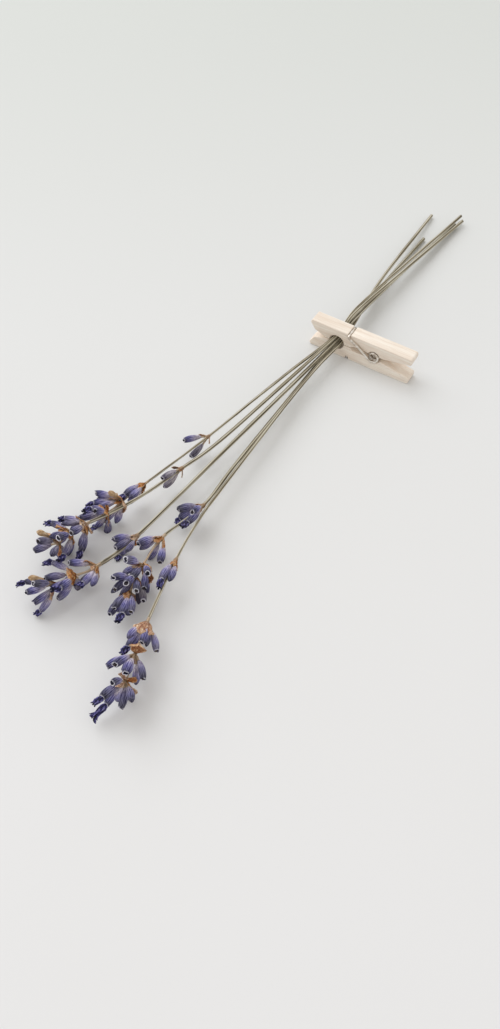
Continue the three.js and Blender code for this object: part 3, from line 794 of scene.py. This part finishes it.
def addWhorl(sheaf, stalk, row, seed, kind):
    lie = lieOf(stalk["route"], row["at"])
    chance = np.random.default_rng(seed)
    for i, ((turn, lean), form) in enumerate(zip(row["calyces"], row["forms"])):
        seat = (lie, radians(turn), radians(lean))
        length = calyx["pedicel"] + calyx["body"] + calyx["spread"] * draw(seed + i)
        tint = chance.uniform(*stalk.get("fresh", calyx["fresh"]))
        tint = 1.2 if form == "t" else row.get("tints", {}).get(i, tint)
        addCalyx(sheaf, seat, length, form, tint, chance)
        if form in corolla:
            addCorolla(sheaf, seat, length, form, chance)
        elif form == "o" and chance.uniform() < nub["share"]:
            addNub(sheaf, seat, length, chance)
    # Two broad bracts lie over the calyces nearest to them; then come the papers and the scraps
    base = radians(row["bract"])
    for half in (0, 180):
        aim = base + radians(half)
        gap, lean = min(([wrapped(radians(turn) - aim), lean] for turn, lean in row["calyces"]),
                        key=lambda pair: abs(pair[0]))
        near = abs(gap) < radians(bract["near"])
        lean = radians(lean + bract["over"] if near else bract["alone"])
        if half == 0 and "thrown" in row:
            lean = radians(row["thrown"])
        size = bract[kind] * (1 + 0.15 * draw(seed + half))
        addBract(sheaf, lie, aim + (gap / 2 if near else 0), size * row.get("broad", 1), lean,
                 row.get("slim", 1), row.get("paper", chance.uniform()), chance)
    for turn, lean, size, tint in row.get("papers", []):
        addBract(sheaf, lie, radians(turn), size, radians(lean), bract["paperSlim"], tint, chance)
    for turn, lean in row["calyces"]:
        if chance.uniform() < bract["scraps"]:
            turn = radians(turn + chance.uniform(-bract["scrapShift"], bract["scrapShift"]))
            lean = radians(lean + bract["over"] * chance.uniform(0.2, 1.2))
            size = bract[kind] * chance.uniform(*bract["scrapSize"])
            slim = chance.uniform(*bract["scrapSlim"])
            addBract(sheaf, lie, turn, size, lean, slim, chance.uniform(), chance)


# Rings of points round the rows of a line, from where up and sideways lie at each row
def ringsRound(line, up, side, radius, angle):
    return (line[:, None] + up[:, None] * (radius * cos(angle))[..., None]
            + side[:, None] * (radius * sin(angle))[..., None])


stem = {
    "around": 24, "rowLength": 1.1, "corner": 0.1, "groove": 0.025, "twist": 0.012,
    "uneven": (0.03, 0.02),
    "node": 0.22, "nodeLength": 0.9,
    "slim": 0.42,  # share of its thickness that it loses within the head
    "bareEnd": 1.1, "headEnd": 1.3,  # mm below the head: where the bare part stops, where the head's starts
    "tints": (0, 0.4), "headTint": 0.95,
    "past": 0.25,  # how far past the last whorl it goes, in steps of the route
    "pith": [(0.3, 0.35, 0.3), (0.5, 0.3, 0.6), (0.62, 0.02, 1), (0.96, 0, 0.9)],  # width, depth, pale
}


# A stretch of stalk, four-cornered and grooved, thicker at its nodes
def addStem(sheaf, stalk, start, end, seed):
    route = stalk["route"]
    chance = np.random.default_rng(seed)
    length = np.linalg.norm(np.diff(through(route, np.linspace(start, end, 400)), axis=0), axis=1).sum()
    at = np.linspace(start, end, max(4, int(length / stem["rowLength"])))
    run = (at - start) / (end - start) * length
    centre, along, up, side = lieOf(route, at)
    angle = roundOf(stem["around"]) + (run * stem["twist"] + chance.uniform(0, 6))[:, None]
    corner = cos(4 * (angle - (run * stem["twist"])[:, None]))
    groove = cos(12 * angle + 1.3)
    plain = stalk["butt"] + (stalk["neck"] - stalk["butt"]) * np.minimum(1, at / stalk["low"]["at"])
    plain = plain * (1 - stem["slim"] * held((at - stalk["spike"][0]["at"]) / 0.4))
    slow, quick = stem["uneven"]
    uneven = 1 + slow * sin(run * 0.35 + chance.uniform(0, 6)) + quick * sin(run * 1.1)
    nodes = [row["at"] for row in [stalk["low"], *stalk["spike"]]]
    gap = np.min([np.linalg.norm(centre - through(route, node), axis=1) for node in nodes], axis=0)
    knot = np.exp(-(gap / stem["nodeLength"]) ** 2)
    swell = 1 + stem["node"] * knot
    radius = (plain * uneven * swell)[:, None] * (1 + stem["corner"] * corner + stem["groove"] * groove)
    points = ringsRound(centre, up, side, radius, angle)
    grain = grainOf(turned(run[:, None], radius, angle), chance)
    # The corners are marked for the painted highlight, the faces between for painted shade
    ridge = 0.5 + 0.5 * corner
    cut = np.zeros_like(radius)
    if start == 0:
        points, grain, ridge, cut = withPith(points, grain, ridge, cut, along[0])
        knot = np.concatenate([np.zeros(len(points) - len(knot)), knot])
    tint = chance.uniform(*stem["tints"]) if start == 0 else stem["headTint"]
    sheaf.tube(points, grain, "stem", {"tint": tint, "along": knot[:, None], "ridge": ridge, "rim": cut})


# Rows for the cut end before a stem's own: a pale ring of wood round a sunken pith
def withPith(points, grain, ridge, cut, along):
    middle = points[0].mean(0)
    width, depth, pale = np.array(stem["pith"]).T[..., None]
    rows = middle + (points[0] - middle) * width[..., None] + along * depth[..., None]
    flat = rows[..., [0, 2, 1]]
    pale = pale * np.ones(points.shape[1])
    return (np.vstack([rows, points]), np.vstack([flat, grain]), np.vstack([pale * 0, ridge]),
            np.vstack([pale, cut]))


collar = {"radius": 0.17, "length": 1.5}


# The swollen node that carries a low whorl, a sleeve round the stem
def addCollar(sheaf, stalk, seed):
    chance = np.random.default_rng(seed + 3)
    centre, along, up, side = lieOf(stalk["route"], stalk["low"]["at"])
    angle = roundOf(20)
    share = np.linspace(-0.5, 0.5, 9)[:, None]
    bulge = collar["radius"] * cos(pi * share) ** 0.8 * (1 + 0.15 * cos(4 * angle))
    radius = stalk["neck"] + 0.04 + bulge
    line = centre + along * (share * collar["length"])
    points = ringsRound(line, up + 0 * line, side + 0 * line, radius, angle)
    grain = grainOf(turned(share, np.ones_like(radius), angle), chance)
    sheaf.tube(points, grain, "stem", {"tint": 0.5, "along": 0.9})


settling = {"clear": 0.14, "soft": 0.35}  # mm round a passing stem, and mm over the table


# Keeps flower pieces over the table, pressed flat there, and clear of the other stalks' stems
def settle(sheaf, skip):
    for points in sheaf.points:
        for number, stalk in enumerate(stalks):
            if number == skip:
                continue
            line = through(stalk["route"], np.linspace(0, stalk["spike"][0]["at"], 400))[::-1]
            wide = stalk["neck"] + settling["clear"]
            y = points[:, 1]
            near = (y > line[0, 1]) & (y < line[-1, 1])
            dx = points[:, 0] - np.interp(y, line[:, 1], line[:, 0])
            dz = points[:, 2] - np.interp(y, line[:, 1], line[:, 2])
            away = np.hypot(dx, dz)
            inside = near & (away < wide)
            grow = np.where(inside, wide / np.maximum(away, 1e-6), 1) - 1
            points[:, 0] += dx * grow
            points[:, 2] += dz * grow
        soft = settling["soft"]
        low = points[:, 2] < soft
        points[low, 2] = soft * np.exp((points[low, 2] - soft) / soft)


def ready(piece, slot, *nodes):
    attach(piece, "bunch")
    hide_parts(*nodes)


def makeStalk(number, stalk, finishes):
    seed = 100 * number
    route = stalk["route"]
    foot = stalk["spike"][0]["at"]
    perStep = np.linalg.norm(np.subtract(route[foot + 1], route[foot - 1])) / 2
    bare = Sheaf(f"stem_{number}", {"stem": finishes["stem"]})
    addStem(bare, stalk, 0, foot - stem["bareEnd"] / perStep, seed + 1)
    ready(bare.make(), "stalk", f"stalk_{number}")
    low = Sheaf(f"lower_flowers_{number}", finishes)
    addWhorl(low, stalk, stalk["low"], seed, "low")
    addCollar(low, stalk, seed)
    settle(low, number - 1)
    ready(low.make(), "flower", f"low_whorl_{number}")
    head = Sheaf(f"flower_head_{number}", finishes)
    end = stalk["spike"][-1]["at"] + stem["past"]
    addStem(head, stalk, foot - stem["headEnd"] / perStep, end, seed + 2)
    for i, row in enumerate(stalk["spike"]):
        addWhorl(head, stalk, row, seed + 10 * (i + 1), "spike")
    settle(head, number - 1)
    ready(head.make(), "flower", f"spike_{number}")


# The clothespin's legs
pin = {
    "length": 35, "width": 4.7, "height": 10.1,
    "gap": 0.3,  # between the two legs' inner faces
    "notchX": -8.3, "notchRadius": 2.6,
    "grooveX": -4.2, "grooveWidth": 1.15, "grooveDepth": 1.15, "grooveRound": 0.55,
    "coilX": 4.9, "seatRadius": 2.2,
    "relief": 4.1, "fulcrumX": -3.4, "fulcrumWidth": 1.1,
    "jawFlatX": -12.1, "jawTip": 3.4, "jawTaper": 1.2, "jawRound": 0.7,
    "handleRoot": 4.3, "handleTip": 2.4, "handleRound": 0.8,
    "edge": 0.22,
}


def arcPoints(x, z, radius, start, end, steps):
    angle = np.radians(np.linspace(start, end, steps + 1))
    return np.stack([x + radius * cos(angle), z + radius * sin(angle)], 1).tolist()


# A leg from its side: flat outside but for the wire's groove; inside, the tapered handle, the coil's seat,
# the fulcrum, the notch and the jaw
def legOutline():
    end = pin["length"] / 2
    middle = pin["height"] / 2
    face = middle - pin["gap"] / 2
    notch = degrees(acos((middle - face) / pin["notchRadius"]))
    groove, half, bottom = pin["grooveX"], pin["grooveWidth"] / 2, pin["grooveRound"]
    coil, seat, corner = pin["coilX"], pin["seatRadius"], pin["handleRound"]
    return [
        [-end, 0], [groove - half, 0],
        *arcPoints(groove, pin["grooveDepth"] - bottom, bottom, 180, 0, 8),
        [groove + half, 0],
        *arcPoints(end - corner, corner, corner, -90, 0, 6),
        *arcPoints(end - corner, pin["handleTip"] - corner, corner, 10, 80, 5),
        [coil + seat + 0.5, pin["handleRoot"]],
        *arcPoints(coil, middle, seat, -22, -158, 20),
        [coil - seat - 0.8, pin["relief"]],
        [pin["fulcrumX"] + pin["fulcrumWidth"], pin["relief"]], [pin["fulcrumX"], face],
        *arcPoints(pin["notchX"], middle, pin["notchRadius"], notch - 90, -notch - 90, 24),
        [pin["jawFlatX"], face], [-end + pin["jawTaper"], pin["jawTip"]],
        *arcPoints(-end + 0.3, 0.9, pin["jawRound"], 130, 200, 5),
    ]


def makeLeg(name, upper, finish, body, node):
    outline = [(x, pin["height"] - z if upper else z) for x, z in legOutline()]
    work = bmesh.new()
    corners = [work.verts.new((x * mm, -pin["width"] / 2 * mm, z * mm)) for x, z in outline]
    side = work.faces.new(corners)
    grown = bmesh.ops.extrude_face_region(work, geom=[side])
    moved = [item for item in grown["geom"] if isinstance(item, bmesh.types.BMVert)]
    bmesh.ops.translate(work, verts=moved, vec=(0, pin["width"] * mm, 0))
    bmesh.ops.recalc_face_normals(work, faces=work.faces)
    sharp = [edge for edge in work.edges if edge.calc_face_angle(0) > radians(35)]
    bmesh.ops.bevel(work, geom=sharp, offset=pin["edge"] * mm, segments=3, profile=0.6, affect="EDGES",
                    clamp_overlap=True)
    bmesh.ops.triangulate(work, faces=[face for face in work.faces if len(face.verts) > 4])
    mesh = bpy.data.meshes.new(name)
    work.to_mesh(mesh)
    work.free()
    mesh.shade_smooth()
    mesh.set_sharp_from_angle(angle=radians(40))
    mesh.materials.append(finish)
    piece = placed(name, mesh)
    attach(piece, body)
    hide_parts(node)


spring = {
    "wire": 0.38, "coil": 1.5, "turns": 5,
    "clear": 0.22, "sink": 0.07,  # beside the legs, and into their grooves
    "around": 14, "perStep": 4,
}


# One wire: across the upper leg in its groove, down the near side to the coil, round it, and the same again,
# turned over, on the far side
def springRoute():
    groove, coil = pin["grooveX"], pin["coilX"]
    middle = pin["height"] / 2
    half = pin["width"] / 2
    armY = half + spring["wire"] + spring["clear"]
    top = pin["height"] - spring["wire"] - spring["sink"]
    reach = hypot(coil - groove, top - middle)
    slope = atan2(top - middle, groove - coil)
    start = slope + acos(spring["coil"] / reach)
    sweep = 2 * pi * (spring["turns"] + 1) - 2 * start
    steps = spring["turns"] * 12
    share = np.linspace(0, 1, steps + 1)
    turn = start + sweep * share
    winding = np.stack([coil + spring["coil"] * cos(turn), armY * (2 * share - 1),
                        middle + spring["coil"] * sin(turn)], 1)
    arm = np.array([
        [groove, half - 0.3, top], [groove, 0, top], [groove, -half + 0.2, top],
        [groove + 0.1, -armY + 0.25, top - 0.08], [groove + 0.55, -armY, top - 0.5],
        [0, -armY, top - (top - winding[0, 2]) * 0.47]])
    farArm = (arm * (1, -1, -1) + (0, 0, pin["height"]))[::-1]
    return np.vstack([arm, winding, farArm])


def makeSpring(finish):
    route = springRoute()
    at = np.linspace(0, len(route) - 1, (len(route) - 1) * spring["perStep"] + 1)
    centre = through(route, at)
    along = unit(np.gradient(centre, axis=0))
    normal = np.cross(along[0], (0, 0, 1.0))
    normals = []
    for direction in along:
        normal = unit(normal - direction * (normal @ direction))
        normals.append(normal)
    normals = np.array(normals)
    others = np.cross(along, normals)
    points = ringsRound(centre, normals, others, spring["wire"], roundOf(spring["around"]))
    sheaf = Sheaf("spring", {"steel": finish})
    sheaf.tube(points, points, "steel", {})
    piece = sheaf.make()
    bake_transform(piece)
    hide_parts("pin_spring")


def makeTable():
    mesh = bpy.data.meshes.new("table")
    half = table["width"] / 2
    corners = [(-half, -half, 0), (half, -half, 0), (half, half, 0), (-half, half, 0)]
    mesh.from_pydata(corners, [], [(0, 1, 2, 3)])
    mesh.materials.append(tableFinish())
    top = placed("table", mesh)


setCamera()
setLight()
makeTable()
print("camera, light and table are set")

wood = woodFinish()
makeLeg("lower_leg", False, wood, "bunch", "pin_lower_leg")
makeLeg("upper_leg_wood", True, wood, "upper_leg", "pin_upper_leg")
makeSpring(steelFinish())
print("clothespin is made")

finishes = {
    "calyx": calyxFinish(), "corolla": corollaFinish(), "bract": bractFinish(), "stem": stemFinish(),
}
for number, stalk in enumerate(stalks, 1):
    makeStalk(number, stalk, finishes)
    print(f"stalk {number} is made")
